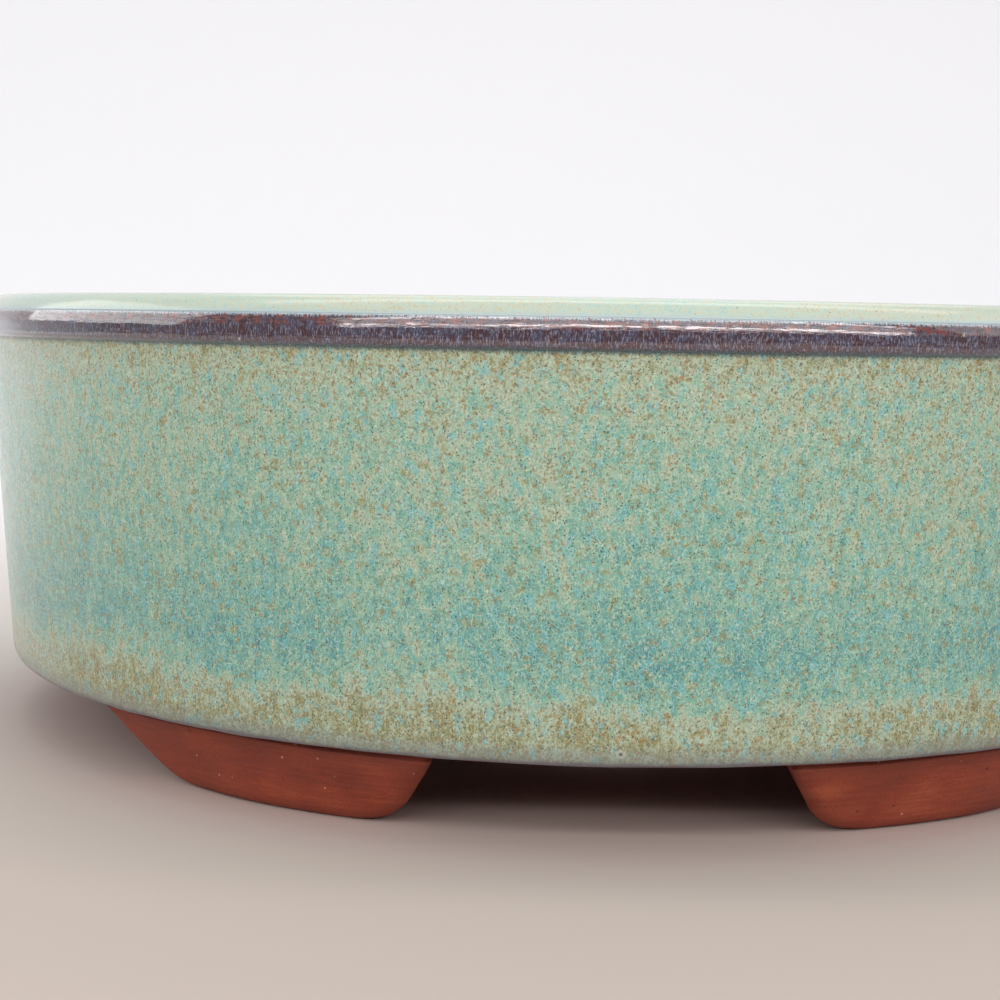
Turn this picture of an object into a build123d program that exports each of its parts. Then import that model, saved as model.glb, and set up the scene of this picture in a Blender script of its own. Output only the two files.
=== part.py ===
from build123d import *
from math import cos, radians, sin, tan
import os

# An oval bonsai pot, hand built from clay slabs and glazed outside.
# Frame: origin on the table under the middle of the pot, X along the length,
# Y across the width, Z up. Millimetres.

# ---- Driving dimensions ----
pot_length = 210.0            # over the glazed lip
pot_width = 160.0
pot_height = 52.0             # table to the crest of the rim

foot_height = 8.0
foot_length = 49.0            # along the outer face, at the top of the foot
foot_depth = 12.0             # outer face to inner face, at the top of the foot
foot_station = 31.2           # degrees round the oval, from its end to the middle of a foot
foot_bow = 3.0                # how far the outer face swells in its middle
foot_end_turn = 34.0          # degrees each end is turned in from square, so the back is shorter
foot_setback = 0.8            # from the edge of the pot's flat underside to the swell
foot_end_batter = 7.5         # how far each end leans in over the height of the foot
foot_face_batter = 3.0
foot_back_batter = 2.0
foot_corner_radius = 1.8
foot_arris_radius = 1.4       # the worn edge round the sole

floor_thickness = 7.0
floor_lap_height = 3.5        # height of the ledge that goes out under the wall
floor_lap_reach = 2.5         # how far that ledge goes out under the wall

wall_thickness = 5.0          # clay alone
wall_flare = 3.1              # how much further out the wall stands under the lip
base_edge_radius = 1.5

lip_height = 4.9              # glazed underside of the lip to the crest
lip_projection = 0.8          # how far the lip stands out from the wall
lip_lap_height = 1.8          # the wall's tongue inside the lip
lip_lap_reach = 1.6           # thickness of lip clay outside that tongue, over the wall
lip_shoulder_radius = 2.3
lip_inner_radius = 1.6
lip_underside_radius = 0.7    # the lip's lower outer edge, over the glaze

seam_coil_width = 5.0         # coil pressed into the corner of floor and wall
seam_coil_height = 5.0

glaze_thickness = 0.5
glaze_line = 0.15             # bare clay left above the underside
lip_band_height = 3.05        # the dark band on the face of the lip
collar_depth = 12.0           # how far the glaze runs down inside

drain_hole_radius = 9.0
drain_hole_spacing = 76.0
wire_hole_radius = 2.25
wire_hole_spacing_length = 120.0
wire_hole_spacing_width = 60.0

# ---- Derived levels and ovals ----
underside = foot_height
floor_top = underside + floor_thickness
lip_bottom = pot_height - lip_height
clay_lip_bottom = lip_bottom + glaze_thickness
band_top = lip_bottom + lip_band_height
collar_bottom = pot_height - collar_depth
above_pot = pot_height + 10.0

# Every oval of the pot is the base oval with both half axes moved out by one offset.
base_half_length = pot_length / 2 - lip_projection - wall_flare
base_half_width = pot_width / 2 - lip_projection - wall_flare
lip_offset = wall_flare + lip_projection
flat_offset = -glaze_thickness - base_edge_radius


def wall_offset(height):
    """How far the glazed face of the wall stands outside the base oval."""
    return wall_flare * (height - underside) / (lip_bottom - underside)


def oval_form(*levels):
    """A solid through ovals, each given as (offset, height), with straight sides between them."""
    with BuildPart() as form:
        for offset, height in levels:
            with BuildSketch(Plane.XY.offset(height)):
                Ellipse(base_half_length + offset, base_half_width + offset)
        loft(ruled=True)
    return form.part


def wall_form(inset, low, high):
    """A solid whose side lies inside the glazed face of the wall by a constant inset."""
    return oval_form((wall_offset(low) - inset, low), (wall_offset(high) - inset, high))


def edge_at(part, height):
    """The one oval edge of a form that lies at a height."""
    return part.edges().filter_by_position(Axis.Z, height - 0.01, height + 0.01)


def rounded_base_form(inset, low, high):
    """A wall form with its lower edge rounded about the centre line of the base edge."""
    with BuildPart() as form:
        add(wall_form(inset, low, high))
        fillet(edge_at(form, low), base_edge_radius + glaze_thickness - inset)
    return form.part


def lip_form(inset, low):
    """The outside of the lip as a solid oval, inside its glazed surface by a constant inset."""
    top = pot_height - inset
    with BuildPart() as form:
        add(oval_form((lip_offset - inset, low), (lip_offset - inset, top)))
        fillet(edge_at(form, top), lip_shoulder_radius - inset)
        fillet(edge_at(form, low), lip_underside_radius - inset)
    return form.part


def rim_form(inset, low):
    """The ring of the rim: the lip, bored out to the inner face of the wall."""
    top = pot_height - inset
    bore_inset = wall_thickness + 2 * glaze_thickness - inset
    with BuildPart() as form:
        add(lip_form(inset, low))
        add(wall_form(bore_inset, floor_top, above_pot), mode=Mode.SUBTRACT)
        inner_edge = edge_at(form, top).sort_by(SortBy.LENGTH)[0]
        fillet(inner_edge, lip_inner_radius - inset)
    return form.part


# ---- The forms that the pieces are cut from ----
clay_body = rounded_base_form(glaze_thickness, underside, clay_lip_bottom)
glazed_body = rounded_base_form(0.0, underside - glaze_thickness, clay_lip_bottom)
clay_rim = rim_form(glaze_thickness, clay_lip_bottom)
glazed_rim = rim_form(0.0, lip_bottom)

clay_inset = glaze_thickness + wall_thickness
lap_top = underside + floor_lap_height
clay_hollow = wall_form(clay_inset, lap_top, above_pot)
floor_lap_offset = -clay_inset + floor_lap_reach
floor_lap = oval_form((floor_lap_offset, underside), (floor_lap_offset, lap_top))

tongue_offset = lip_offset - glaze_thickness - lip_projection - lip_lap_reach
tongue_top = clay_lip_bottom + lip_lap_height
wall_tongue = oval_form((tongue_offset, clay_lip_bottom), (tongue_offset, tongue_top))

# ---- Floor slab: its ledge goes out under the wall, with holes for water and tie wires ----
with BuildPart() as floor_slab:
    add(clay_hollow)
    split(bisect_by=Plane.XY.offset(floor_top), keep=Keep.BOTTOM)
    add(floor_lap)
    with Locations(Plane.XY.offset(floor_top)):
        with GridLocations(drain_hole_spacing, 0, 2, 1):
            Hole(drain_hole_radius, floor_thickness)
        with GridLocations(wire_hole_spacing_length, wire_hole_spacing_width, 2, 2):
            Hole(wire_hole_radius, floor_thickness)

# ---- Wall: a flared band, rebated over the floor and carrying a tongue for the lip ----
with BuildPart() as wall_band:
    add(clay_body)
    add(wall_tongue)
    add(clay_hollow, mode=Mode.SUBTRACT)
    add(floor_lap, mode=Mode.SUBTRACT)

# ---- Lip: a band set over the wall's tongue, standing out a little ----
with BuildPart() as rim_lip:
    add(clay_rim)
    add(wall_tongue, mode=Mode.SUBTRACT)

# ---- Coil pressed into the inside corner, where the wall meets the floor ----
coil_top = floor_top + seam_coil_height
with BuildPart() as seam_coil:
    add(wall_form(clay_inset, floor_top, coil_top))
    add(
        oval_form(
            (wall_offset(floor_top) - clay_inset - seam_coil_width, floor_top),
            (wall_offset(coil_top) - clay_inset, coil_top),
        ),
        mode=Mode.SUBTRACT,
    )

# ---- Glaze on the wall, from just above the underside to the lip ----
with BuildPart() as wall_glaze:
    add(glazed_body)
    add(clay_body, mode=Mode.SUBTRACT)
    split(bisect_by=Plane.XY.offset(underside + glaze_line), keep=Keep.TOP)

# ---- Dark glaze band on the face of the lip, turned in under its edge ----
with BuildPart() as lip_glaze:
    add(lip_form(0.0, lip_bottom))
    add(lip_form(glaze_thickness, clay_lip_bottom), mode=Mode.SUBTRACT)
    add(glazed_body, mode=Mode.SUBTRACT)
    split(bisect_by=Plane.XY.offset(band_top), keep=Keep.BOTTOM)

# ---- Pale glaze over the top of the rim and down inside as a collar ----
with BuildPart() as collar_glaze:
    add(glazed_rim)
    add(clay_rim, mode=Mode.SUBTRACT)
    split(bisect_by=Plane.XY.offset(band_top), keep=Keep.TOP)
    add(wall_form(clay_inset, collar_bottom, band_top))
    add(
        wall_form(clay_inset + glaze_thickness, floor_top, above_pot),
        mode=Mode.SUBTRACT,
    )


# ---- Feet: four bowed bars of clay under the oval, leaning in to a smaller sole ----
def foot_plane(side_x, side_y):
    """A plane on the table at the edge of the flat underside, X along the foot and Y outwards."""
    half_length = base_half_length + flat_offset
    half_width = base_half_width + flat_offset
    turn = radians(foot_station)
    middle = Vector(side_x * half_length * cos(turn), side_y * half_width * sin(turn))
    outwards = Vector(side_x * half_width * cos(turn), side_y * half_length * sin(turn))
    return Plane(origin=middle, x_dir=Vector(outwards.Y, -outwards.X), z_dir=(0, 0, 1))


def foot_plan(plane, end_batter, face_batter, back_batter):
    """The plan of a foot at one level, drawn in by the batter of its ends, face and back."""
    end = foot_length / 2 - end_batter
    face = -foot_setback - face_batter
    back = -foot_setback - foot_depth + back_batter
    back_end = end - (face - back) * tan(radians(foot_end_turn))
    back_bow = foot_bow * (back_end / end) ** 2
    with BuildSketch(plane) as plan:
        with BuildLine():
            bow = ThreePointArc((-end, face - foot_bow), (0, face), (end, face - foot_bow))
            hollow = ThreePointArc((-back_end, back - back_bow), (0, back), (back_end, back - back_bow))
            Line(bow @ 0, hollow @ 0)
            Line(bow @ 1, hollow @ 1)
        make_face()
    return plan.sketch


def make_foot(side_x, side_y):
    table = foot_plane(side_x, side_y)
    sole = foot_plan(table, foot_end_batter, foot_face_batter, foot_back_batter)
    seat = foot_plan(table.offset(underside), 0, 0, 0)
    with BuildPart() as foot:
        loft([sole, seat], ruled=True)
        corners = foot.edges().filter_by(
            lambda edge: edge.bounding_box().size.Z > foot_height / 2
        )
        fillet(corners, foot_corner_radius)
        fillet(foot.faces().sort_by(Axis.Z)[0].edges(), foot_arris_radius)
    return foot.part


feet = {
    f"foot_{row}_{side}": make_foot(side_x, side_y)
    for row, side_y in (("front", -1), ("back", 1))
    for side, side_x in (("left", -1), ("right", 1))
}

# ---- Export: one file for each piece ----
pieces = {
    "floor_slab": floor_slab.part,
    "wall_band": wall_band.part,
    "rim_lip": rim_lip.part,
    "seam_coil": seam_coil.part,
    "wall_glaze": wall_glaze.part,
    "lip_glaze": lip_glaze.part,
    "collar_glaze": collar_glaze.part,
    **feet,
}
os.makedirs("parts", exist_ok=True)
for name, piece in pieces.items():
    piece.label = name
    export_step(piece, f"parts/{name}.step")
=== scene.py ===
from math import asin, cos, degrees, hypot, pi, radians, sin, tan

import bmesh
import bpy
from mathutils import Matrix, Vector, geometry, noise


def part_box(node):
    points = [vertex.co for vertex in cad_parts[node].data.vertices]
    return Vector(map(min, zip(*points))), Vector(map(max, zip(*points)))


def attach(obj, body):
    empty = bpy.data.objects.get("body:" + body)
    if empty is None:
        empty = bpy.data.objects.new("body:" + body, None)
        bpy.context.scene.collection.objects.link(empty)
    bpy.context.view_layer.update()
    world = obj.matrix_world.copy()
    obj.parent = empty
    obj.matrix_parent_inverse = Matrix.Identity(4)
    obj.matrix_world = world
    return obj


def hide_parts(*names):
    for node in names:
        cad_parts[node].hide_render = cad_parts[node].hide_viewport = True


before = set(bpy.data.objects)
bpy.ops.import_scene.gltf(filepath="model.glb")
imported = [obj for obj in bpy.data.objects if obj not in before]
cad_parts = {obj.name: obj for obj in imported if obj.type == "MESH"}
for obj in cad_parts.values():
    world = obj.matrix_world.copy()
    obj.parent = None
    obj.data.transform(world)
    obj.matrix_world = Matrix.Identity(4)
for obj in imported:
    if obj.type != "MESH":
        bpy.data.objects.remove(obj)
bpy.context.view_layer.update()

# An oval bonsai pot, hand built from red clay slabs and glazed outside and over its rim.
# It stands on its four feet on z = 0. Sections and sizes are in millimetres, meshes in metres.

MM = 0.001
scene = bpy.context.scene
scene.view_settings.view_transform = "Standard"


# ---- Camera: a close view of the near end, level with the rim ----
def close_camera(place, look_down, turn, tilt, lens):
    forward = Vector((-cos(turn) * cos(look_down), sin(turn) * cos(look_down), -sin(look_down)))
    level = Vector((sin(turn), cos(turn), 0.0))
    upright = level.cross(forward)
    right = cos(tilt) * level + sin(tilt) * upright
    up = cos(tilt) * upright - sin(tilt) * level
    data = bpy.data.cameras.new("close_view")
    data.lens = lens
    data.sensor_width = 36.0
    data.clip_start = 0.01
    camera = bpy.data.objects.new("close_view", data)
    camera.matrix_world = Matrix.Translation(place) @ Matrix((right, up, -forward)).transposed().to_4x4()
    scene.collection.objects.link(camera)
    scene.camera = camera


close_camera(Vector((0.316, -0.00626, 0.0493)), look_down=0.075, turn=-0.022, tilt=0.017, lens=83.7)


# ---- Colours and nodes ----
def linear(code):
    """An sRGB hex value as a linear colour."""
    parts = [int(code[i:i + 2], 16) / 255 for i in (1, 3, 5)]
    return [c / 12.92 if c <= 0.04045 else ((c + 0.055) / 1.055) ** 2.4 for c in parts] + [1.0]


def node(tree, kind, settings=None, inputs=None, stops=None):
    """Adds a node, its settings, and its inputs as links or values. A ramp's stops are (place, colour)."""
    made = tree.nodes.new(kind)
    for name, value in (settings or {}).items():
        setattr(made, name, value)
    for key, value in (inputs or {}).items():
        if isinstance(key, int):
            socket = made.inputs[key]
        else:
            socket = next(s for s in made.inputs if s.name == key and s.enabled)
        if isinstance(value, bpy.types.Node):
            value = next(s for s in value.outputs if s.enabled)
        if isinstance(value, bpy.types.NodeSocket):
            tree.links.new(value, socket)
        else:
            socket.default_value = value
    for number, (place, colour) in enumerate(stops or []):
        ramp = made.color_ramp
        stop = ramp.elements[number] if number < 2 else ramp.elements.new(place)
        stop.position = place
        stop.color = linear(colour) if isinstance(colour, str) else (colour, colour, colour, 1.0)
    return made


MATH = "ShaderNodeMath"
PLUS, MINUS = {"operation": "ADD"}, {"operation": "SUBTRACT"}
TIMES, DIVIDED = {"operation": "MULTIPLY"}, {"operation": "DIVIDE"}
TIMES_PLUS, REMAINDER = {"operation": "MULTIPLY_ADD"}, {"operation": "FLOORED_MODULO"}
# a fade runs from 0 where the value is input 1 to 1 where it is input 2, or from input 3 to input 4
FADE = "ShaderNodeMapRange"
SMOOTH = {"interpolation_type": "SMOOTHSTEP"}
RAMP = "ShaderNodeValToRGB"


# ---- Sizes from the frame ----
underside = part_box("foot_front_right")[1].z / MM
floor_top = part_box("floor_slab")[1].z / MM
coil_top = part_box("seam_coil")[1].z / MM
glaze_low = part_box("wall_glaze")[0].z / MM
lip_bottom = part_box("lip_glaze")[0].z / MM
band_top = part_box("lip_glaze")[1].z / MM
collar_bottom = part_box("collar_glaze")[0].z / MM
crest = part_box("collar_glaze")[1].z / MM

flare = 3.1
lip_reach = 3.9
half_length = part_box("lip_glaze")[1].x / MM - lip_reach
half_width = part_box("lip_glaze")[1].y / MM - lip_reach
glaze = 0.5
wall = 5.0
base_round = 2.0              # the glazed rounding at the base edge
clay_round = base_round - glaze
bore_inset = glaze + wall + glaze
bore_round = 1.6
crown_reach, crown_rise = 2.5, 3.4      # the crown of the lip is an upright quarter oval
lap_top = underside + 3.5
lap_reach = -3.0
tongue_top = lip_bottom + glaze + 1.8
tongue_reach = 1.0
coil_width = 5.0
drain_hole, drain_spacing = 9.0, 76.0
wire_hole, wire_spacing_long, wire_spacing_wide = 2.25, 120.0, 60.0

foot_half = 24.5              # half of a foot's length, along the top of its outer face
foot_depth = 12.0
foot_setback = 0.8            # its outer face from the base edge
foot_station = 31.2           # the angle round the oval at which each foot stands
foot_end_turn = 34.0          # each end is cut turned in by this angle, so the back is shorter
foot_bow = 3.0                # how far the ends curve back along the wall


def face(height, inset=0.0):
    """Offset of the wall's glazed face from the base oval at a height, less an inset."""
    return flare * (height - underside) / (lip_bottom - underside) - inset


# ---- Sections: closed clockwise lines of (offset, height, give) round the wall ----
# give says how much a point takes of the piece's own wandering, from 0 to 1.
def arc(middle, radius, start, end, steps, give=0.0):
    """Points on an arc, or on an upright oval arc where the radius is a pair. Angles in degrees."""
    wide, tall = radius if isinstance(radius, tuple) else (radius, radius)
    turns = [radians(start + (end - start) * k / steps) for k in range(steps + 1)]
    return [(middle[0] + wide * cos(t), middle[1] + tall * sin(t), give) for t in turns]


def run(start, end, steps):
    """Points on a straight run, without its two ends."""
    share = [k / steps for k in range(1, steps)]
    return [tuple(a + (b - a) * s for a, b in zip(start, end)) for s in share]


def bend(start, corner, end, shares):
    """Points on a curve from start to end that leans towards a corner, at shares of the way."""
    return [tuple((1 - t) ** 2 * a + 2 * t * (1 - t) * b + t ** 2 * c for a, b, c in zip(start, corner, end))
            for t in shares]


slope = degrees(asin(flare / hypot(flare, lip_bottom - underside)))
base_centre = (face(underside + clay_round, base_round), underside + clay_round)
lip_crown = (lip_reach - crown_reach, crest - crown_rise)


def crown(inset, start, end, steps):
    """The rounded outer face and shoulder of the lip, from one angle to another."""
    return arc(lip_crown, (crown_reach - inset, crown_rise - inset), start, end, steps)


def bore_shoulder(inset, steps):
    """The inner edge of the rim, from the bore up to the top."""
    low = crest - bore_round
    middle = (face(low, bore_inset) + bore_round / cos(radians(slope)), low)
    return arc(middle, bore_round - inset, 180 - slope, 90, steps)


band_angle = degrees(asin((band_top - lip_crown[1]) / crown_rise))
band_angle_clay = degrees(asin((band_top - lip_crown[1]) / (crown_rise - glaze)))


def wall_section():
    outer_top = (face(lip_bottom + glaze, glaze), lip_bottom + glaze, 0)
    outer_low = arc(base_centre, clay_round, -slope, -90, 6)
    inner_low = (face(lap_top, glaze + wall), lap_top, 0)
    grip = (face(coil_top + 2, glaze + wall), coil_top + 2, 1)
    under_collar = (face(collar_bottom - 1, glaze + wall), collar_bottom - 1, 1)
    inner_top = (face(tongue_top, glaze + wall), tongue_top, 0)
    return [
        outer_top, *run(outer_top, outer_low[0], 8), *outer_low,
        (lap_reach, underside, 0), (lap_reach, lap_top, 0),
        inner_low, *run(inner_low, grip, 4), grip, *run(grip, under_collar, 12), under_collar,
        *run(under_collar, inner_top, 6), inner_top,
        (tongue_reach, tongue_top, 0), (tongue_reach, lip_bottom + glaze, 0),
    ]


def lip_section():
    inner_top = bore_shoulder(glaze, 8)
    inner_low = (face(tongue_top, glaze + wall), tongue_top, 0)
    return [
        *inner_top, *crown(glaze, 90, 0, 14), (lip_reach - glaze, lip_bottom + 0.8, 0),
        (lip_reach - 0.8, lip_bottom + glaze, 0), (tongue_reach, lip_bottom + glaze, 0),
        (tongue_reach, tongue_top, 0), inner_low, *run(inner_low, inner_top[0], 2),
    ]


def coil_section():
    """A coil pressed into the corner with a fingertip, so its face is hollow."""
    top = (face(coil_top, glaze + wall), coil_top, 0)
    corner = (face(floor_top, glaze + wall), floor_top, 0)
    toe = (corner[0] - coil_width, floor_top - 0.35, 0)      # pressed a little into the slab
    fingertip = (toe[0] + 0.2, coil_top + 0.6)
    hollow = arc(fingertip, (coil_width + 0.1, coil_top - floor_top + 0.6), -88, -7, 14, 1.0)
    return [top, corner, toe, *hollow[1:-1]]


def wall_glaze_section():
    """The coat on the wall, rolled under at the base edge to a soft bead."""
    top = (face(lip_bottom + glaze), lip_bottom + glaze, 0)
    corner = (face(lip_bottom) + 0.05, lip_bottom + 0.05)
    turn_under = -degrees(asin((base_centre[1] - glaze_low - 0.22) / base_round))
    outer_low = arc(base_centre, base_round, -slope, turn_under, 8, 0.6)
    out = Vector((cos(radians(turn_under)), sin(radians(turn_under))))
    bead_middle = Vector(base_centre) + (base_round - 0.25) * out
    bead = arc(bead_middle, 0.25, turn_under, turn_under - 150, 6, 1.0)
    clay_low = arc(base_centre, clay_round, turn_under - 8, -slope, 4, 0.6)
    clay_top = (face(lip_bottom + glaze, glaze), lip_bottom + glaze, 0)
    start = (face(lip_bottom - 0.65), lip_bottom - 0.65, 0)
    tuck = (lip_reach - 0.22, lip_bottom + 0.24, 0)         # the glaze fills the corner under the lip
    shares = (0.0, 0.12, 0.25, 0.38, 0.5, 0.62, 0.75, 0.88, 1.0)
    hollow = [(*spot, 0) for spot in bend(tuck[:2], corner, start[:2], shares)]
    return [top, (lip_reach - glaze, lip_bottom + 0.5, 0), *hollow, *run(start, outer_low[0], 60), *outer_low,
            *bead[1:], *clay_low[1:], *run(clay_low[-1], clay_top, 6), clay_top]


def lip_glaze_section():
    outer = [*crown(0.0, band_angle, 0, 12),
             *run((lip_reach, lip_crown[1], 0), (lip_reach, lip_bottom + 0.75, 0), 4),
             *arc((lip_reach - 0.62, lip_bottom + 0.62), 0.62, 0, -90, 7)]
    clay = [(face(lip_bottom), lip_bottom, 0), (face(lip_bottom + glaze), lip_bottom + glaze, 0),
            (lip_reach - 0.7, lip_bottom + glaze, 0), (lip_reach - glaze, lip_bottom + glaze + 0.2, 0)]
    return [*outer, *clay, *crown(glaze, 0, band_angle_clay, 5)]


def collar_section():
    """The coat over the top of the rim and down the bore, ending in a soft bead that wanders."""
    low_in = (face(collar_bottom, bore_inset), collar_bottom, 1)
    bead = arc((low_in[0] + 0.28, collar_bottom + 0.3), (0.28, 0.34), -60, -180, 5, 1.0)
    shoulder = bore_shoulder(0.0, 12)
    fade = (face(collar_bottom + 5, bore_inset), collar_bottom + 5, 0.25)
    clay_shoulder = bore_shoulder(glaze, 6)[::-1]
    clay_low = (face(collar_bottom + 0.1, glaze + wall), collar_bottom + 0.1, 1)
    clay_fade = (face(collar_bottom + 5, glaze + wall), collar_bottom + 5, 0.25)
    return [
        *bead, *run(bead[-1], fade, 8), fade, *run(fade, shoulder[0], 6), *shoulder,
        *run(shoulder[-1], (lip_crown[0], crest, 0), 3), *crown(0.0, 90, band_angle, 18),
        *crown(glaze, band_angle_clay, 90, 8), *clay_shoulder, *run(clay_shoulder[-1], clay_fade, 4),
        clay_fade, *run(clay_fade, clay_low, 4), clay_low,
    ]


# ---- The tree that carries a section round the oval of the pot ----
def oval_wall_tree():
    """Bends a section round the oval. Its points hold the offset in x, the give in y and the height in z."""
    tree = bpy.data.node_groups.new("section_round_oval", "GeometryNodeTree")

    def ask(name, kind, value=None):
        socket = tree.interface.new_socket(name=name, in_out="INPUT", socket_type="NodeSocket" + kind)
        if value is not None:
            socket.default_value = value

    ask("Section", "Geometry")
    ask("Half Length", "Float", 100.0)
    ask("Half Width", "Float", 75.0)
    ask("Around", "Int", 560)
    ask("Oval Drift", "Float", 0.25)
    ask("Hand Ripple", "Float", 0.0)
    ask("Ripple Size", "Float", 12.0)
    ask("Edge Wander", "Float", 0.0)
    ask("Edge Size", "Float", 9.0)
    ask("Finish", "Material")
    tree.interface.new_socket(name="Geometry", in_out="OUTPUT", socket_type="NodeSocketGeometry")
    given = node(tree, "NodeGroupInput").outputs

    count = node(tree, "GeometryNodeAttributeDomainSize", {"component": "MESH"}, {0: given["Section"]})
    points = count.outputs["Point Count"]
    row = node(tree, MATH, PLUS, {0: given["Around"], 1: 1.0})
    grid = node(tree, "GeometryNodeMeshGrid", {}, {
        "Size X": 1.0, "Size Y": 1.0,
        "Vertices X": node(tree, MATH, PLUS, {0: points, 1: 1.0}), "Vertices Y": row})
    # along one side of the grid lie the section's points, and along the other the steps round the oval
    index = node(tree, "GeometryNodeInputIndex")
    share = node(tree, MATH, DIVIDED, {0: node(tree, MATH, PLUS, {0: index, 1: 0.5}), 1: row})
    place = node(tree, MATH, {"operation": "FLOOR"}, {0: share})
    along = node(tree, MATH, MINUS, {0: index, 1: node(tree, MATH, TIMES, {0: place, 1: row})})
    sample = node(tree, "GeometryNodeSampleIndex", {"data_type": "FLOAT_VECTOR", "domain": "POINT"}, {
        "Geometry": given["Section"], "Value": node(tree, "GeometryNodeInputPosition"),
        "Index": node(tree, MATH, REMAINDER, {0: place, 1: points})})
    point = node(tree, "ShaderNodeSeparateXYZ", {}, {0: sample}).outputs
    turn = node(tree, MATH, TIMES, {
        0: node(tree, MATH, REMAINDER, {0: along, 1: given["Around"]}),
        1: node(tree, MATH, DIVIDED, {0: 2 * pi, 1: given["Around"]})})
    cosine = node(tree, MATH, {"operation": "COSINE"}, {0: turn})
    sine = node(tree, MATH, {"operation": "SINE"}, {0: turn})

    def wander(size, seed):
        """Smooth noise from -1 to 1 at this point of the wall, in lumps of about a size in mm."""
        spot = node(tree, "ShaderNodeCombineXYZ", {}, {
            0: node(tree, MATH, TIMES, {0: cosine, 1: given["Half Length"]}),
            1: node(tree, MATH, TIMES, {0: sine, 1: given["Half Width"]}),
            2: node(tree, MATH, PLUS, {0: point["Z"], 1: seed})})
        swell = node(tree, "ShaderNodeTexNoise", {"noise_dimensions": "3D"}, {
            "Vector": spot, "Scale": node(tree, MATH, DIVIDED, {0: 1.0, 1: size}),
            "Detail": 1.5, "Roughness": 0.4})
        return node(tree, MATH, TIMES_PLUS, {0: swell, 1: 2.0, 2: -1.0})

    drift = node(tree, MATH, TIMES, {0: wander(46.0, 310.0), 1: given["Oval Drift"]})
    skin = node(tree, MATH, TIMES, {0: wander(9.0, 95.0), 1: 0.07})
    pressed = node(tree, MATH, TIMES, {0: wander(given["Ripple Size"], 20.0), 1: given["Hand Ripple"]})
    ripple = node(tree, MATH, TIMES, {0: pressed, 1: point["Y"]})
    offset = node(tree, MATH, PLUS, {
        0: node(tree, MATH, PLUS, {0: point["X"], 1: drift}),
        1: node(tree, MATH, PLUS, {0: skin, 1: ripple})})
    lifted = node(tree, MATH, TIMES, {0: wander(given["Edge Size"], 700.0), 1: given["Edge Wander"]})
    rise = node(tree, MATH, TIMES, {0: lifted, 1: point["Y"]})
    long_reach = node(tree, MATH, PLUS, {0: given["Half Length"], 1: offset})
    wide_reach = node(tree, MATH, PLUS, {0: given["Half Width"], 1: offset})
    spot = node(tree, "ShaderNodeCombineXYZ", {}, {
        0: node(tree, MATH, TIMES, {0: long_reach, 1: cosine}),
        1: node(tree, MATH, TIMES, {0: wide_reach, 1: sine}),
        2: node(tree, MATH, PLUS, {0: point["Z"], 1: rise})})
    metres = node(tree, "ShaderNodeVectorMath", {"operation": "SCALE"}, {0: spot, "Scale": MM})
    bent = node(tree, "GeometryNodeSetPosition", {}, {"Geometry": grid, "Position": metres})
    closed = node(tree, "GeometryNodeMergeByDistance", {}, {"Geometry": bent, "Distance": 0.004 * MM})
    smooth = node(tree, "GeometryNodeSetShadeSmooth", {}, {"Geometry": closed, "Shade Smooth": True})
    real = node(tree, "GeometryNodeRealizeInstances", {}, {"Geometry": smooth})
    painted = node(tree, "GeometryNodeSetMaterial", {}, {"Geometry": real, "Material": given["Finish"]})
    node(tree, "NodeGroupOutput", {}, {0: painted})
    return tree


def keep_piece(name, mesh, cad_node):
    piece = bpy.data.objects.new(name, mesh)
    scene.collection.objects.link(piece)
    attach(piece, "root")
    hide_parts(cad_node)
    return piece


def wall_ring(name, section, finish, cad_node, material_slot, **sizes):
    """One ring of the pot's wall, as a plain mesh, from its section and the oval tree."""
    line = bpy.data.meshes.new(name + "_section")
    line.from_pydata([(offset, give, height) for offset, height, give in section], [], [])
    drawn = bpy.data.objects.new(name + "_section", line)
    scene.collection.objects.link(drawn)
    modifier = drawn.modifiers.new("oval", "NODES")
    modifier.node_group = oval_tree
    given = {"Half Length": half_length, "Half Width": half_width, "Finish": finish, **sizes}
    for socket in oval_tree.interface.items_tree:
        if socket.in_out == "INPUT" and socket.name in given:
            modifier[socket.identifier] = given[socket.name]
    graph = bpy.context.evaluated_depsgraph_get()
    mesh = bpy.data.meshes.new_from_object(drawn.evaluated_get(graph), depsgraph=graph)
    bpy.data.objects.remove(drawn)
    return keep_piece(name, mesh, cad_node)


# ---- Finishes ----
def new_finish(name):
    finish = bpy.data.materials.new(name)
    finish.use_nodes = True
    tree = finish.node_tree
    tree.nodes.clear()
    place = node(tree, "ShaderNodeVectorMath", {"operation": "SCALE"}, {
        0: node(tree, "ShaderNodeTexCoord").outputs["Object"], "Scale": 1 / MM})
    return finish, tree, place


def lumps(tree, place, across, up=None, detail=2.0, roughness=0.5, seed=0.0):
    """Smooth noise from 0 to 1 whose lumps are so many mm across and so many mm up."""
    squeezed = node(tree, "ShaderNodeVectorMath", TIMES, {
        0: place, 1: (1 / across, 1 / across, 1 / (up or across))})
    moved = node(tree, "ShaderNodeVectorMath", PLUS, {0: squeezed, 1: (seed, seed * 1.7, seed * 0.6)})
    return node(tree, "ShaderNodeTexNoise", {}, {
        "Vector": moved, "Scale": 1.0, "Detail": detail, "Roughness": roughness})


def varied(tree, value, noise_value, amount):
    """A value moved up and down by noise, by half the amount at most each way."""
    centred = node(tree, MATH, MINUS, {0: noise_value, 1: 0.5})
    return node(tree, MATH, TIMES_PLUS, {0: centred, 1: amount, 2: value})


def stained(tree, under, stain, cover, strength=1.0):
    """A colour with a stain laid over it, as far as the cover and the strength say."""
    share = node(tree, MATH, TIMES, {0: cover, 1: strength})
    return node(tree, "ShaderNodeMix", {"data_type": "RGBA"}, {
        "Factor": share, "A": under, "B": linear(stain)})


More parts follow.
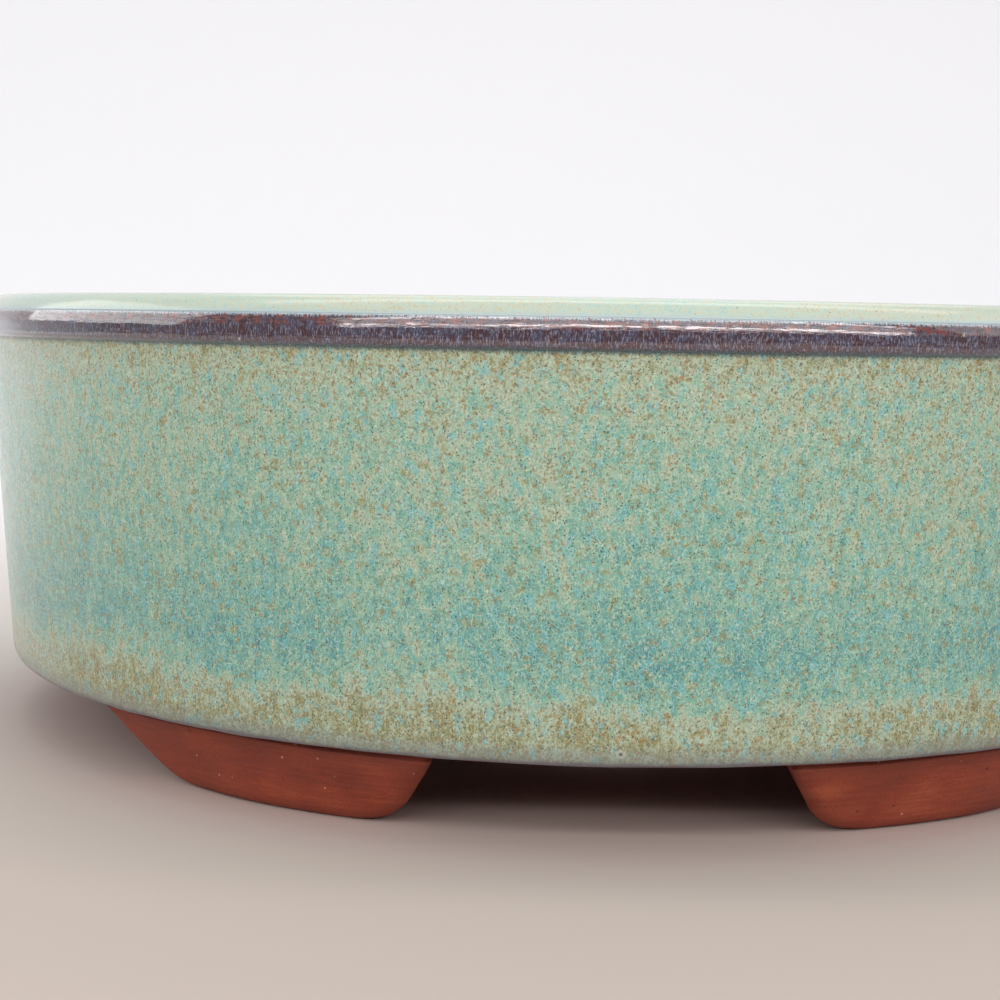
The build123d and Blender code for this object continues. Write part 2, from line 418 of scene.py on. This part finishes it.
def threads(tree, noise_value, width):
    """Thin winding threads: where smooth noise crosses its middle."""
    off_middle = node(tree, MATH, MINUS, {0: noise_value, 1: 0.5})
    gap = node(tree, MATH, {"operation": "ABSOLUTE"}, {0: off_middle})
    return node(tree, FADE, SMOOTH, {0: gap, 1: 0.0, 2: width, 3: 1.0, 4: 0.0})


def specks(tree, place, spacing, size, share, seed=0.0):
    """Scattered specks up to a size in mm, in a share of the cells that lie a spacing apart."""
    moved = node(tree, "ShaderNodeVectorMath", PLUS, {0: place, 1: (seed, seed * 2.3, seed * 1.1)})
    cells = node(tree, "ShaderNodeTexVoronoi", {"feature": "F1"}, {"Vector": moved, "Scale": 1 / spacing})
    near = node(tree, FADE, SMOOTH, {
        0: cells.outputs["Distance"], 1: 0.25 * size / spacing, 2: 0.55 * size / spacing, 3: 1.0, 4: 0.0})
    pick = node(tree, "ShaderNodeSeparateColor", {}, {0: cells.outputs["Color"]})
    chosen = node(tree, MATH, {"operation": "LESS_THAN"}, {0: pick, 1: share})
    return node(tree, MATH, TIMES, {0: near, 1: chosen})


def band_edge_height(tree, place, height):
    """The height in mm, feathered as the brush left the edges of the dark band."""
    return varied(tree, height, lumps(tree, place, 0.17, 0.5, 3.0, 0.65, seed=5.1), 1.0)


def finish_off(finish, tree, colour, roughness, height, settings):
    """The surface itself. Height is the relief in mm, and settings are the constant values."""
    bump = node(tree, "ShaderNodeBump", {}, {"Strength": 1.0, "Distance": MM, "Height": height})
    surface = node(tree, "ShaderNodeBsdfPrincipled", {}, {
        "Base Color": colour, "Roughness": roughness, "Normal": bump, **settings})
    node(tree, "ShaderNodeOutputMaterial", {}, {"Surface": surface})
    return finish


def turquoise_rutile_glaze():
    """Opaque turquoise rutile glaze, poured and fired on red stoneware.

    Rutile breaks it into turquoise and sage mottling with a pale net and ochre crystals. It runs a little,
    so it is streaked downwards, and it is thickest and bluest above the base.
    """
    finish, tree, place = new_finish("turquoise_rutile_glaze")
    height = node(tree, "ShaderNodeSeparateXYZ", {}, {0: place}).outputs[2]
    clouds = lumps(tree, place, 26, 15, 2.0, seed=3.1)
    drips = lumps(tree, place, 2.6, 14, 2.0, seed=8.2)
    shift = node(tree, FADE, SMOOTH, {0: height, 1: underside + 2, 2: underside + 16, 3: 1.5, 4: 9.0})
    level = varied(tree, height, clouds, shift)
    level = varied(tree, level, drips, 3.0)
    up_wall = node(tree, FADE, {}, {0: level, 1: underside, 2: lip_bottom})
    # how much turquoise there is at each level, from the base edge to the lip
    zone = node(tree, RAMP, {}, {0: up_wall}, [
        (0.0, 0.38), (0.06, 0.27), (0.12, 0.31), (0.18, 0.56), (0.27, 0.69), (0.45, 0.58), (0.70, 0.51),
        (0.90, 0.47), (0.96, 0.38), (1.0, 0.33)])
    mottle = lumps(tree, place, 0.85, 1.30, 4.0, 0.60, seed=1.4)
    grain = lumps(tree, place, 0.25, 0.30, 2.0, 0.6, seed=5.5)
    tone = varied(tree, zone, mottle, 0.85)
    tone = varied(tree, tone, grain, 0.35)
    tone = varied(tree, tone, clouds, 0.30)
    tone = varied(tree, tone, drips, 0.22)
    colour = node(tree, RAMP, {}, {0: tone}, [
        (0.0, "#7E7646"), (0.20, "#909066"), (0.31, "#9DA482"), (0.43, "#ABBBA2"), (0.53, "#90B8A0"),
        (0.65, "#74AC9E"), (0.80, "#5C9C9C"), (1.0, "#447A8C")])
    # smooth turquoise pools and olive patches, about a millimetre across
    pools = node(tree, FADE, SMOOTH, {
        0: lumps(tree, place, 1.0, 1.5, 2.5, 0.55, seed=12.4), 1: 0.55, 2: 0.64})
    colour = stained(tree, colour, "#70B8BC", pools, 0.60)
    olive = node(tree, FADE, SMOOTH, {
        0: lumps(tree, place, 1.15, 1.0, 3.0, 0.6, seed=15.2), 1: 0.54, 2: 0.66})
    colour = stained(tree, colour, "#968B54", olive, 0.62)
    # the fine grain: a pale net over darker gaps
    gaps = node(tree, FADE, SMOOTH, {0: grain, 1: 0.49, 2: 0.31})
    colour = stained(tree, colour, "#46645A", gaps, 0.60)
    net = threads(tree, lumps(tree, place, 0.42, 0.55, 1.5, 0.6, seed=2.2), 0.045)
    colour = stained(tree, colour, "#CFE4CE", net, 0.52)
    # ochre crystals, thick below the lip and above the base
    shove = node(tree, "ShaderNodeTexNoise", {}, {"Vector": place, "Scale": 1 / 0.3, "Detail": 1.0})
    shove = node(tree, "ShaderNodeVectorMath", {"operation": "SCALE"}, {
        0: shove.outputs["Color"], "Scale": 0.32})
    ragged_place = node(tree, "ShaderNodeVectorMath", PLUS, {0: place, 1: shove})
    thin_zones = node(tree, RAMP, {}, {0: up_wall}, [
        (0.0, 0.12), (0.05, 0.42), (0.13, 0.40), (0.20, 0.10), (0.55, 0.11), (0.80, 0.18), (0.92, 0.38),
        (1.0, 0.45)])
    crystals = specks(tree, ragged_place, 0.62, 0.42, thin_zones, 4.0)
    colour = stained(tree, colour, "#A0763A", crystals, 0.60)
    small_crystals = specks(tree, ragged_place, 0.40, 0.28, thin_zones, 9.0)
    colour = stained(tree, colour, "#8A6648", small_crystals, 0.55)
    dark = specks(tree, place, 0.42, 0.19, 0.45, 2.0)
    colour = stained(tree, colour, "#2A3C40", dark, 0.8)
    brown = specks(tree, place, 0.34, 0.18, 0.42, 13.0)
    colour = stained(tree, colour, "#564A34", brown, 0.65)
    pale = specks(tree, ragged_place, 0.9, 0.30, 0.22, 6.0)
    colour = stained(tree, colour, "#D5DFC0", pale, 0.55)
    halo = specks(tree, place, 9.0, 1.15, 0.16, 7.0)
    pinhole = specks(tree, place, 9.0, 0.62, 0.16, 7.0)
    colour = stained(tree, colour, "#DCE2D0", halo, 0.6)
    # painted shade: the pinholes are painted near black, as the shade inside each small pit
    colour = stained(tree, colour, "#171412", pinhole)
    # the dark band bleeds a little way down into this glaze as a teal fringe, which is also darkened as
    # painted shade under the lip
    fringe_edge = node(tree, MATH, TIMES_PLUS, {
        0: lumps(tree, place, 0.17, 0.5, 3.0, 0.65, seed=4.4), 1: 1.1, 2: height})
    teal_fringe_and_shade = node(tree, FADE, SMOOTH, {0: fringe_edge, 1: lip_bottom + 0.10, 2: lip_bottom + 0.60})
    colour = stained(tree, colour, "#3A5A6C", teal_fringe_and_shade, 0.85)
    # thin at the base edge: greyer, then plum, then the body shows
    wavy = node(tree, MATH, TIMES_PLUS, {0: lumps(tree, place, 5.0, 5.0, 2.0, seed=6.4), 1: 0.5, 2: height})
    fine = node(tree, MATH, TIMES_PLUS, {0: lumps(tree, place, 0.4, 0.5, 2.0, seed=7.4), 1: 0.35, 2: wavy})
    grey = node(tree, FADE, SMOOTH, {0: fine, 1: underside + 1.3, 2: underside + 3.2, 3: 0.58, 4: 0.0})
    colour = stained(tree, colour, "#7C807E", grey)
    plum = node(tree, FADE, SMOOTH, {0: fine, 1: underside + 0.80, 2: underside + 1.3, 3: 0.85, 4: 0.0})
    colour = stained(tree, colour, "#6C6670", plum)
    body = node(tree, FADE, SMOOTH, {0: fine, 1: underside + 0.52, 2: underside + 0.68, 3: 1.0, 4: 0.0})
    colour = stained(tree, colour, "#7A4030", body)
    relief = node(tree, MATH, TIMES, {0: lumps(tree, place, 3.2, 4.2, 1.0, seed=1.9), 1: 0.035})
    relief = node(tree, MATH, TIMES_PLUS, {
        0: lumps(tree, place, 0.8, 1.0, 2.0, seed=2.9), 1: 0.006, 2: relief})
    relief = node(tree, MATH, TIMES_PLUS, {0: pinhole, 1: -0.08, 2: relief})
    gloss = node(tree, FADE, SMOOTH, {0: mottle, 1: 0.3, 2: 0.7, 3: 0.15, 4: 0.24})
    return finish_off(finish, tree, colour, gloss, relief, {"IOR": 1.52})


def aubergine_lip_glaze():
    """Iron and manganese glaze, brushed round the lip over the wet turquoise.

    It is dark plum where thick and red brown where it thins over the edge, with blue grey threads of rutile
    drawn down through it. Its surface is fluid and mirror bright, but slightly rippled.
    """
    finish, tree, place = new_finish("aubergine_lip_glaze")
    height = node(tree, "ShaderNodeSeparateXYZ", {}, {0: place}).outputs[2]
    streaks = lumps(tree, place, 0.15, 0.52, 3.5, 0.68, seed=1.3)
    pools = lumps(tree, place, 1.3, 1.2, 3.0, 0.6, seed=3.3)
    colour = node(tree, RAMP, {}, {0: pools}, [
        (0.36, "#3E0F12"), (0.47, "#3A1B26"), (0.58, "#3A2D42"), (0.75, "#363C50")])
    thread_zone = node(tree, FADE, SMOOTH, {
        0: height, 1: lip_bottom + 2.9, 2: lip_bottom + 1.6, 3: 0.25, 4: 1.0})
    rutile = node(tree, FADE, SMOOTH, {0: streaks, 1: 0.48, 2: 0.66})
    colour = stained(tree, colour, "#8A92A8", node(tree, MATH, TIMES, {0: rutile, 1: thread_zone}), 0.74)
    red = node(tree, FADE, SMOOTH, {0: lumps(tree, place, 0.9, 0.5, 3.0, 0.6, seed=9.3), 1: 0.46, 2: 0.62})
    upper = node(tree, FADE, SMOOTH, {0: height, 1: lip_bottom + 1.7, 2: lip_bottom + 2.3})
    colour = stained(tree, colour, "#7E3C30", node(tree, MATH, TIMES, {0: red, 1: upper}), 0.85)
    # it breaks to pale blue at its top edge and to teal at its bottom edge
    ragged = band_edge_height(tree, place, height)
    top_edge = node(tree, FADE, SMOOTH, {0: ragged, 1: band_top - 0.32, 2: band_top - 0.02})
    colour = stained(tree, colour, "#B4C8D2", top_edge, 0.9)
    low_edge = node(tree, FADE, SMOOTH, {0: ragged, 1: lip_bottom + 0.30, 2: lip_bottom + 0.02})
    colour = stained(tree, colour, "#3C5A70", low_edge, 0.85)
    cream = specks(tree, place, 1.4, 0.40, 0.16, 2.0)
    colour = stained(tree, colour, "#B9B08E", cream, 0.7)
    relief = node(tree, MATH, TIMES, {0: lumps(tree, place, 5.0, 0.55, 2.0, 0.55, seed=1.9), 1: 0.026})
    relief = node(tree, MATH, TIMES_PLUS, {
        0: lumps(tree, place, 0.5, 0.35, 2.0, seed=2.9), 1: 0.004, 2: relief})
    creases = threads(tree, lumps(tree, place, 4.5, 0.42, 2.0, 0.6, seed=7.9), 0.035)
    creases = node(tree, MATH, TIMES, {0: creases, 1: upper})
    relief = node(tree, MATH, TIMES_PLUS, {0: creases, 1: -0.012, 2: relief})
    return finish_off(finish, tree, colour, 0.07, relief, {
        "IOR": 2.0, "Coat Weight": 0.5, "Coat Roughness": 0.05, "Coat IOR": 1.5})


def celadon_collar_glaze():
    """Pale celadon over the rim and down inside, poured and wiped.

    It is cream where thin over the crest, greener where it pools, with faint ochre and turquoise mottling.
    """
    finish, tree, place = new_finish("celadon_collar_glaze")
    height = node(tree, "ShaderNodeSeparateXYZ", {}, {0: place}).outputs[2]
    mottle = lumps(tree, place, 0.40, 0.34, 4.0, 0.68, seed=1.4)
    clouds = lumps(tree, place, 30, 30, 1.0, seed=4.4)
    grain = lumps(tree, place, 0.22, 0.20, 2.0, 0.6, seed=8.4)
    tone = varied(tree, mottle, clouds, 0.35)
    tone = varied(tree, tone, grain, 0.7)
    colour = node(tree, RAMP, {}, {0: tone}, [
        (0.28, "#C4C0A2"), (0.43, "#CAD2BC"), (0.55, "#C2D6C8"), (0.70, "#A8CCC6")])
    uneven = node(tree, MATH, TIMES_PLUS, {0: mottle, 1: 3.0, 2: height})
    pooled = node(tree, FADE, SMOOTH, {0: uneven, 1: collar_bottom + 8, 2: collar_bottom + 1.5})
    colour = stained(tree, colour, "#8FBDB0", pooled, 0.8)
    uneven = node(tree, MATH, TIMES_PLUS, {0: mottle, 1: 1.2, 2: height})
    thin = node(tree, FADE, SMOOTH, {0: uneven, 1: collar_bottom + 1.3, 2: collar_bottom + 0.5})
    colour = stained(tree, colour, "#86644A", thin, 0.8)
    ragged = band_edge_height(tree, place, height)
    blue = node(tree, MATH, TIMES, {
        0: node(tree, FADE, SMOOTH, {0: ragged, 1: band_top + 0.55, 2: band_top}),
        1: node(tree, FADE, SMOOTH, {0: height, 1: band_top - 1.0, 2: band_top - 0.5})})
    colour = stained(tree, colour, "#B4CCD2", blue, 0.9)
    ochre = specks(tree, place, 0.7, 0.36, 0.2, 3.0)
    colour = stained(tree, colour, "#B8995E", ochre, 0.16)
    dark = specks(tree, place, 0.9, 0.20, 0.25, 5.0)
    colour = stained(tree, colour, "#5E6E66", dark, 0.6)
    relief = node(tree, MATH, TIMES, {0: lumps(tree, place, 3.0, 2.4, 1.5, seed=1.9), 1: 0.035})
    return finish_off(finish, tree, colour, 0.16, relief, {"IOR": 1.52})


def red_stoneware_clay():
    """Bare red stoneware, sponged while leather hard and fired.

    It is matt and brick red, with painted shade darkening the tops of the feet and the clay just under the
    glazed wall, fine wiping lines, white grog and small pits, whose insides are painted darker as shade.
    """
    finish, tree, place = new_finish("red_stoneware_clay")
    height = node(tree, "ShaderNodeSeparateXYZ", {}, {0: place}).outputs[2]
    clouds = lumps(tree, place, 9, 5, 3.0, 0.55, seed=2.4)
    wiping = lumps(tree, place, 7.0, 0.35, 3.0, 0.6, seed=3.4)
    grain = lumps(tree, place, 0.28, 0.24, 2.0, 0.6, seed=6.4)
    tone = varied(tree, clouds, wiping, 0.5)
    tone = varied(tree, tone, grain, 0.45)
    colour = node(tree, RAMP, {}, {0: tone}, [
        (0.22, "#783120"), (0.5, "#8E3D26"), (0.78, "#A35034")])
    # painted shade: the clay is darker at the tops of the feet and just under the glazed wall, where the
    # pot's edge shades it
    painted_shade_under_pot = node(tree, MATH, TIMES, {
        0: node(tree, FADE, SMOOTH, {0: height, 1: underside - 3.0, 2: underside - 0.2}),
        1: node(tree, FADE, SMOOTH, {0: height, 1: floor_top - 2, 2: floor_top - 4})})
    colour = stained(tree, colour, "#7C3A2C", painted_shade_under_pot, 0.55)
    grog = specks(tree, place, 1.5, 0.30, 0.20, 3.0)
    colour = stained(tree, colour, "#D8BFA4", grog, 0.6)
    # painted shade: the small pits are painted darker, as the shade inside them
    pits = specks(tree, place, 1.9, 0.42, 0.25, 5.0)
    colour = stained(tree, colour, "#5A2A1E", pits, 0.6)
    relief = node(tree, MATH, TIMES, {0: wiping, 1: 0.05})
    relief = node(tree, MATH, TIMES_PLUS, {0: grain, 1: 0.030, 2: relief})
    relief = node(tree, MATH, TIMES_PLUS, {
        0: lumps(tree, place, 2.4, 1.6, 2.0, seed=8.8), 1: 0.10, 2: relief})
    relief = node(tree, MATH, TIMES_PLUS, {0: pits, 1: -0.10, 2: relief})
    gloss = node(tree, FADE, SMOOTH, {0: clouds, 1: 0.3, 2: 0.7, 3: 0.62, 4: 0.78})
    return finish_off(finish, tree, colour, gloss, relief, {"IOR": 1.5})


# ---- Make the rings ----
oval_tree = oval_wall_tree()
clay = red_stoneware_clay()
wall_ring("clay_wall", wall_section(), clay, "wall_band", "clay", **{
    "Hand Ripple": 0.35, "Ripple Size": 13.0})
wall_ring("clay_lip", lip_section(), clay, "rim_lip", "clay")
wall_ring("pressed_coil", coil_section(), clay, "seam_coil", "clay", **{
    "Hand Ripple": 0.55, "Ripple Size": 9.0, "Edge Wander": 0.5, "Edge Size": 8.0})
wall_ring(
    "turquoise_wall_coat", wall_glaze_section(), turquoise_rutile_glaze(), "wall_glaze", "turquoise_glaze",
    **{"Around": 900, "Edge Wander": 0.14, "Edge Size": 7.0})
wall_ring(
    "aubergine_lip_band", lip_glaze_section(), aubergine_lip_glaze(), "lip_glaze", "aubergine_glaze",
    **{"Around": 1100})
wall_ring("celadon_collar", collar_section(), celadon_collar_glaze(), "collar_glaze", "celadon_glaze", **{
    "Around": 900, "Edge Wander": 1.1, "Edge Size": 14.0})


# ---- Floor slab and feet ----
def hand_lumps(point, size, seed):
    """Smooth noise at a point in mm, from about -1 to 1."""
    return noise.noise(Vector(point) / size + Vector((seed, seed, seed)))


def fill_plan(rings, spacing):
    """Triangles over a plan whose first ring is the outline and whose other rings are holes."""
    points, edges = [], []
    for ring in rings:
        first = len(points)
        points += [Vector(p) for p in ring]
        edges += [(first + k, first + (k + 1) % len(ring)) for k in range(len(ring))]
    reach_x = max(abs(p.x) for p in points)
    reach_y = max(abs(p.y) for p in points)
    columns, rows = int(reach_x / spacing), int(reach_y / spacing)
    for column in range(-columns, columns + 1):
        for row in range(-rows, rows + 1):
            spot = Vector((column * spacing, (row + 0.5 * (column % 2)) * spacing))
            if inside(spot, rings, 0.35 * spacing):
                points.append(spot)
    places, _, triangles, *_ = geometry.delaunay_2d_cdt(points, edges, [], 1, 1e-5)
    kept = [t for t in triangles if inside(sum((places[k] for k in t), Vector((0, 0))) / 3, rings, 0.0)]
    return places, kept


def inside(spot, rings, clear):
    """Whether a spot is inside the outline, outside the holes, and clear of every ring's points."""
    def within(ring):
        crossings = 0
        for k, (ax, ay) in enumerate(ring):
            bx, by = ring[(k + 1) % len(ring)]
            if (ay > spot.y) != (by > spot.y) and spot.x < ax + (spot.y - ay) * (bx - ax) / (by - ay):
                crossings += 1
        return crossings % 2 == 1
    if not within(rings[0]) or any(within(ring) for ring in rings[1:]):
        return False
    return clear == 0 or all(hypot(spot.x - x, spot.y - y) > clear for ring in rings for x, y in ring)


def ellipse_ring(long_half, wide_half, middle, count):
    turns = [2 * pi * k / count for k in range(count)]
    return [(middle[0] + long_half * cos(t), middle[1] + wide_half * sin(t)) for t in turns]


def solid_from_rings(name, stacks, caps, finish):
    """A closed mesh in mm: each stack is a list of equal rings joined in turn, each cap a filled plan."""
    points, faces = [], []
    for stack in stacks:
        first, count = len(points), len(stack[0])
        for ring in stack:
            points += ring
        for level in range(len(stack) - 1):
            for k in range(count):
                a, b = first + level * count + k, first + level * count + (k + 1) % count
                faces.append((a, b, b + count, a + count))
    for places, triangles in caps:
        first = len(points)
        points += places
        faces += [tuple(first + k for k in t) for t in triangles]
    mesh = bpy.data.meshes.new(name)
    mesh.from_pydata([Vector(p) * MM for p in points], [], faces)
    work = bmesh.new()
    work.from_mesh(mesh)
    bmesh.ops.remove_doubles(work, verts=work.verts, dist=0.004 * MM)
    bmesh.ops.recalc_face_normals(work, faces=work.faces)
    for drawn in work.faces:
        drawn.smooth = True
    work.to_mesh(mesh)
    work.free()
    mesh.materials.append(finish)
    return mesh


def pierced_floor():
    """The floor slab: a ledge under the wall, and holes whose edges were wiped round with a finger."""
    edge_top = face(floor_top, glaze + wall)
    holes = [((side * drain_spacing / 2, 0.0), drain_hole, 72, 1.1) for side in (-1, 1)]
    holes += [((sx * wire_spacing_long / 2, sy * wire_spacing_wide / 2), wire_hole, 32, 0.6)
              for sx in (-1, 1) for sy in (-1, 1)]

    def sheet_height(x, y, low):
        wave = 0.22 * hand_lumps((x, y, low), 17, 5.0) + 0.07 * hand_lumps((x, y, low), 5, 9.0)
        rim = min(1.0, max(0.0, (1 - hypot(x / (half_length - 8), y / (half_width - 8))) * 12))
        return low + wave * rim

    stacks, caps = [], []
    ledge = [
        (edge_top, floor_top), (face(lap_top, glaze + wall), lap_top), (lap_reach, lap_top),
        (lap_reach, underside)]
    stacks.append([
        [(x, y, height) for x, y in ellipse_ring(half_length + offset, half_width + offset, (0, 0), 240)]
        for offset, height in ledge])
    for middle, radius, count, round_edge in holes:
        turns = [radians(90 * k / 5) for k in range(6)]
        rounding = [(radius + round_edge * (1 - sin(t)), round_edge * (1 - cos(t))) for t in turns]
        levels = [(reach, floor_top - depth) for reach, depth in rounding]
        levels += [(reach, underside + depth) for reach, depth in rounding[::-1]]
        stack = []
        for reach, height in levels:
            ring = []
            for x, y in ellipse_ring(reach, reach, middle, count):
                close = floor_top if height > (floor_top + underside) / 2 else underside
                ring.append((x, y, sheet_height(x, y, close) + height - close))
            stack.append(ring)
        stacks.append(stack)
    for level, reach in ((floor_top, edge_top), (underside, lap_reach)):
        rings = [ellipse_ring(half_length + reach, half_width + reach, (0, 0), 240)]
        rings += [ellipse_ring(radius + round_edge, radius + round_edge, middle, count)
                  for middle, radius, count, round_edge in holes]
        places, triangles = fill_plan(rings, 3.2)
        caps.append(([(p.x, p.y, sheet_height(p.x, p.y, level)) for p in places], triangles))
    return solid_from_rings("pierced_floor", stacks, caps, clay)


def rounded_outline(corners, cuts, steps):
    """A plan outline with curved corners, each begun a length back on both sides. Sides get even points."""
    outline = []
    for k, corner in enumerate(corners):
        corner, before, after = (Vector(corners[(k + n) % len(corners)]) for n in (0, -1, 1))
        start = corner + (before - corner).normalized() * cuts[k]
        end = corner + (after - corner).normalized() * cuts[k]
        outline += [Vector(spot) for spot in bend(start, corner, end, [n / 8 for n in range(9)])]
        next_start = after + (corner - after).normalized() * cuts[(k + 1) % len(corners)]
        outline += [end.lerp(next_start, n / steps[k]) for n in range(1, steps[k])]
    return outline


def foot_bar(name, side_x, side_y, seed):
    """A foot: a bowed bar, cut with slanting ends, its corners and sole worn round by the sponge."""
    turn = radians(foot_station)
    long_half, wide_half = half_length - base_round, half_width - base_round
    middle = Vector((side_x * long_half * cos(turn), side_y * wide_half * sin(turn), 0.0))
    outward = Vector((side_x * wide_half * cos(turn), side_y * long_half * sin(turn), 0.0)).normalized()
    across = Vector((side_x * abs(outward.y), -side_y * abs(outward.x), 0.0))     # towards the pot's end

    def ring(level):
        """The outline of the foot at a level, as points along and outwards from the foot's middle."""
        lean = 1 - level / underside
        groove = 0.55 if level > underside - 0.45 else 0.0      # the luting line under the pot
        face_cut = worn(level, 1.4, 1.4) + groove
        near_end = foot_half - 7.5 * lean - worn(level, 2.6, 2.6) - groove
        far_end = -foot_half - 0.8 + 6.0 * lean + worn(level, 5.0, 5.5) + groove
        front = -foot_setback - 3.0 * lean - face_cut
        back = -foot_setback - foot_depth + 2.0 * lean + face_cut
        shorter = (front - back) * tan(radians(foot_end_turn))
        corners = [(near_end, front), (far_end, front), (far_end + shorter, back), (near_end - shorter, back)]
        outline = rounded_outline(corners, (2.0 + 2.5 * lean, 2.0 + 4.0 * lean, 1.2, 1.2), (36, 8, 24, 8))
        bow = (foot_bow + 1.2 * lean) / (1 - 0.3 * lean)
        return [(u, v - bow * (u / foot_half) ** 2) for u, v in outline]

    def worn(level, depth, rise):
        """How far the sole's edge is worn in at a level, over a rise above the table."""
        missing = max(0.0, rise - level) / rise
        return depth * (1 - (1 - missing ** 2) ** 0.5)

    def laid(u, v, level):
        place = middle + across * u + outward * v
        place.z = level
        give = min(1.0, (underside - level) / 1.5)
        press = 0.35 * hand_lumps(place, 8.0, seed) + 0.12 * hand_lumps(place, 2.6, seed + 7)
        place += (across * (u / foot_half) + outward * ((v + 7) / 6.0)) * press * give
        place.z = max(0.0, level)
        return place

    levels = [0.0, 0.05, 0.18, 0.4, 0.7, 1.05, 1.4, 1.8, 2.3, 2.8, 3.4, 4.1, 4.9, 5.7, 6.5, 7.2, 7.45, 7.6]
    levels.append(underside)
    stack = [[laid(u, v, level) for u, v in ring(level)] for level in levels]
    caps = []
    for level in (0.0, underside):
        places, triangles = fill_plan([ring(level)], 1.8)
        caps.append(([laid(p.x, p.y, level) for p in places], triangles))
    return solid_from_rings(name, [stack], caps, clay)


keep_piece("pierced_floor", pierced_floor(), "floor_slab")
foot_sides = {
    "foot_front_right": (1, -1), "foot_back_right": (1, 1),
    "foot_front_left": (-1, -1), "foot_back_left": (-1, 1)}
for number, (foot, (side_x, side_y)) in enumerate(foot_sides.items()):
    bar = foot_bar(foot + "_bar", side_x, side_y, 11.0 + 5 * number)
    keep_piece(foot + "_bar", bar, foot)


# ---- Stage: a pale floor that sweeps up to a white backdrop, and soft light ----
def pale_sweep():
    finish, tree, place = new_finish("pale_floor")
    away = node(tree, "ShaderNodeSeparateXYZ", {}, {0: place}).outputs[0]
    # painted shade: the floor is painted darker and warmer towards the front, as the shade in front of the
    # pot, and palest at the back
    colour = node(tree, RAMP, {}, {0: node(tree, FADE, SMOOTH, {0: away, 1: 160, 2: -420})}, [
        (0.0, "#C6B9B0"), (0.45, "#E0DAD6"), (1.0, "#F2F2F4")])
    finish_off(finish, tree, colour, 0.8, 0.0, {})
    front, back, curve, high, side_reach = 2.4, -0.55, 0.5, 1.6, 3.0
    profile = [(front, 0.0), (back, 0.0)]
    profile += [(back - curve * sin(radians(9 * k)), curve * (1 - cos(radians(9 * k)))) for k in range(1, 11)]
    profile.append((back - curve, high))
    points = [(x, side * side_reach, z) for x, z in profile for side in (-1, 1)]
    faces = [(2 * k, 2 * k + 2, 2 * k + 3, 2 * k + 1) for k in range(len(profile) - 1)]
    mesh = bpy.data.meshes.new("pale_sweep")
    mesh.from_pydata(points, [], faces)
    for drawn in mesh.polygons:
        drawn.use_smooth = True
    mesh.materials.append(finish)
    sweep = bpy.data.objects.new("pale_sweep", mesh)
    scene.collection.objects.link(sweep)


def softbox(name, place, aim, size, power, colour):
    light = bpy.data.lights.new(name, "AREA")
    light.shape = "RECTANGLE"
    light.size, light.size_y = size
    light.energy = power
    light.color = linear(colour)[:3]
    lamp = bpy.data.objects.new(name, light)
    lamp.location = place
    lamp.rotation_euler = (Vector(aim) - Vector(place)).to_track_quat("-Z", "Y").to_euler()
    scene.collection.objects.link(lamp)


pale_sweep()
softbox("overhead_softbox", (-0.35, 0.0, 0.75), (0.0, 0.0, 0.0), (0.7, 0.7), 1.3, "#FFFDFA")
softbox("front_softbox", (0.84, 0.02, 0.46), (0.10, 0.0, 0.05), (2.5, 0.46), 5.3, "#FFFBFB")
softbox("high_strip", (0.80, 0.02, 0.64), (0.10, 0.0, 0.05), (2.4, 0.10), 2.4, "#FFF6F6")
softbox("front_strip", (0.83, 0.02, 0.31), (0.10, 0.0, 0.05), (2.4, 0.055), 2.5, "#FFF6F6")
softbox("left_softbox", (-0.25, -0.90, 0.35), (0.0, 0.0, 0.03), (0.8, 0.5), 2.1, "#FFFFFF")
softbox("right_softbox", (0.0, 0.95, 0.48), (0.0, 0.0, 0.03), (0.9, 0.6), 1.5, "#FFFFFF")
softbox("backdrop_light", (-0.30, 0.0, 1.50), (-1.0, 0.0, 0.35), (2.4, 0.5), 8.4, "#FFFFFF")
world = bpy.data.worlds.new("white_studio")
scene.world = world
world.use_nodes = True
world.node_tree.nodes.clear()
sky = node(world.node_tree, "ShaderNodeBackground", {}, {"Color": linear("#F5F6FA"), "Strength": 0.31})
node(world.node_tree, "ShaderNodeOutputWorld", {}, {"Surface": sky})
